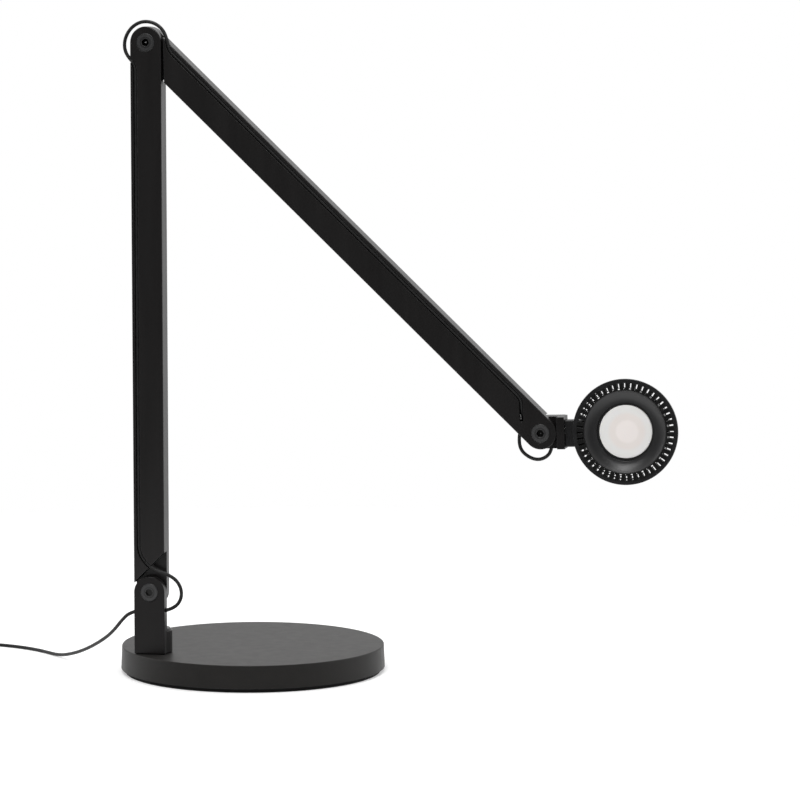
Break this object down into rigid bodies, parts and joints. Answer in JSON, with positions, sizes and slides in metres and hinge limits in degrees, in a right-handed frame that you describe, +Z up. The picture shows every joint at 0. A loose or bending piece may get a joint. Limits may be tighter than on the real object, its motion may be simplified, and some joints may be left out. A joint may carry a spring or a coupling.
{
  "type": "desk lamp",
  "caption": "Desk lamp with a weighted disc base, two flat half-lapped arms on friction hinges and a round slotted head with an opal diffuser.",
  "frame": {"origin": "centre of the base disc on the table", "axes": "+X from the post towards the head, +Y away from the viewer of the picture, +Z up"},
  "size_m": [0.8488, 0.2312, 0.5685],
  "materials": {
    "base_black": "fine matte powder coat over steel",
    "ballast_iron": "rough, oiled",
    "pad_rubber": "matte",
    "arm_black": "black anodised, satin",
    "head_black": "black anodised casting, satin",
    "screw_black": "blackened steel",
    "bright_steel": "zinc plated",
    "bush_plastic": "dry running plastic",
    "bush_brass": "turned",
    "lead_pvc": "soft black sheath",
    "funnel_black": "semi-gloss",
    "diffuser_white": "translucent opal",
    "reflector_white": "matte white",
    "board_white": "white solder mask",
    "adapter_black": "fine matte texture"
  },
  "bodies": {
    "base": {"base_cover": "base_black", "ballast_plate": "ballast_iron", "foot_pad": "pad_rubber", "ballast_screws": "bright_steel", "swivel_bush": "bush_brass", "lead_drop": "lead_pvc", "lead_floor": "lead_pvc", "lead_coil": "lead_pvc", "lead_tail": "lead_pvc", "adapter_relief": "pad_rubber", "adapter_case": "adapter_black", "adapter_pins": "bright_steel"},
    "stem": {"stem_bracket": "arm_black", "stem_lead": "lead_pvc", "glide_ring": "bush_plastic", "swivel_bolt": "bright_steel", "swivel_spring": "bright_steel", "shoulder_screw": "screw_black", "shoulder_washer": "bush_plastic", "shoulder_spring": "bright_steel", "shoulder_nut": "screw_black"},
    "lower": {"lower_arm": "arm_black", "lower_arm_lead": "lead_pvc", "shoulder_loop": "lead_pvc", "shoulder_bush": "bush_brass", "elbow_screw": "screw_black", "elbow_washer": "bush_plastic", "elbow_spring": "bright_steel", "elbow_nut": "screw_black"},
    "upper": {"upper_arm": "arm_black", "upper_arm_lead": "lead_pvc", "elbow_loop": "lead_pvc", "elbow_bush": "bush_brass", "wrist_screw": "screw_black", "wrist_washer": "bush_plastic", "wrist_spring": "bright_steel", "wrist_nut": "screw_black"},
    "wrist": {"wrist_bracket": "arm_black", "wrist_loop": "lead_pvc", "wrist_lead": "lead_pvc", "wrist_bush": "bush_brass", "neck_liner": "bush_plastic", "neck_grub_screw": "screw_black"},
    "head": {"heat_sink": "head_black", "neck_stud": "bright_steel", "neck_lead": "lead_pvc", "bezel_funnel": "funnel_black", "lens_holder": "adapter_black", "reflector": "reflector_white", "diffuser": "diffuser_white", "led_board": "board_white", "board_screws": "bright_steel", "rear_cap": "head_black", "cap_screws": "screw_black", "tact_switch": "adapter_black"},
    "button": {"switch_button": "adapter_black"}
  },
  "joints": [
    {"name": "base_swivel", "type": "hinge", "parent": "base", "child": "stem", "pos_m": [-0.07277, -0.06044, 0.0235], "axis": [0, 0, 1], "range_deg": [-90, 90], "deforming": ["lead_drop"]},
    {"name": "shoulder", "type": "hinge", "parent": "stem", "child": "lower", "pos_m": [-0.07277, -0.06744, 0.0775], "axis": [0, 1, 0], "range_deg": [-45, 70], "deforming": ["shoulder_loop"]},
    {"name": "elbow", "type": "hinge", "parent": "lower", "child": "upper", "pos_m": [-0.07277, -0.06744, 0.5485], "axis": [0, 1, 0], "range_deg": [-175, 3.5], "deforming": ["elbow_loop"]},
    {"name": "wrist", "type": "hinge", "parent": "upper", "child": "wrist", "pos_m": [0.26775, -0.06744, 0.22309], "axis": [0, 1, 0], "range_deg": [-12, 130], "deforming": ["wrist_loop"]},
    {"name": "head_swivel", "type": "hinge", "parent": "wrist", "child": "head", "pos_m": [0.28804, -0.06419, 0.2238], "axis": [0.9994, 0, 0.0349], "range_deg": [-150, 150]},
    {"name": "switch_press", "type": "slide", "parent": "head", "child": "button", "axis": [-0.0015, -0.999, 0.0436], "range_m": [0, 0.001], "stiffness_N_per_m": 900}
  ]
}
